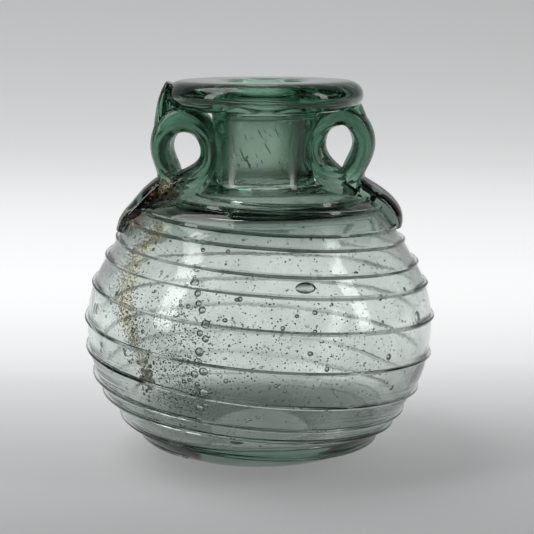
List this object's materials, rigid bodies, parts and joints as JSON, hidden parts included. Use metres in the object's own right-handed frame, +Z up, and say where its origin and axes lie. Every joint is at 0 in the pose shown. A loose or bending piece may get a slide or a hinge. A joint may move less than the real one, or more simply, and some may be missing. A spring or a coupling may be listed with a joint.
{
  "type": "glass perfume flask",
  "caption": "Small globular glass perfume flask with a broad disc rim, two ribbed ring handles and a fine spiral thread round the body.",
  "frame": {"origin": "middle of the flat underside, on the surface that the flask stands on", "axes": "+Z up along the neck, -Y towards the side shown first, +X towards the right handle"},
  "size_m": [0.0706, 0.0707, 0.0744],
  "materials": {
    "pale_glass": "clear pale green-blue blown glass with fine bubbles",
    "thread_glass": "clear green glass trail, fire-polished",
    "deep_glass": "thick deep green glass, fire-polished, brown weathering in the hollows"
  },
  "bodies": {
    "root": {"flask_body": "pale_glass", "spiral_thread": "thread_glass", "handle_left": "deep_glass", "handle_right": "deep_glass"}
  },
  "joints": []
}
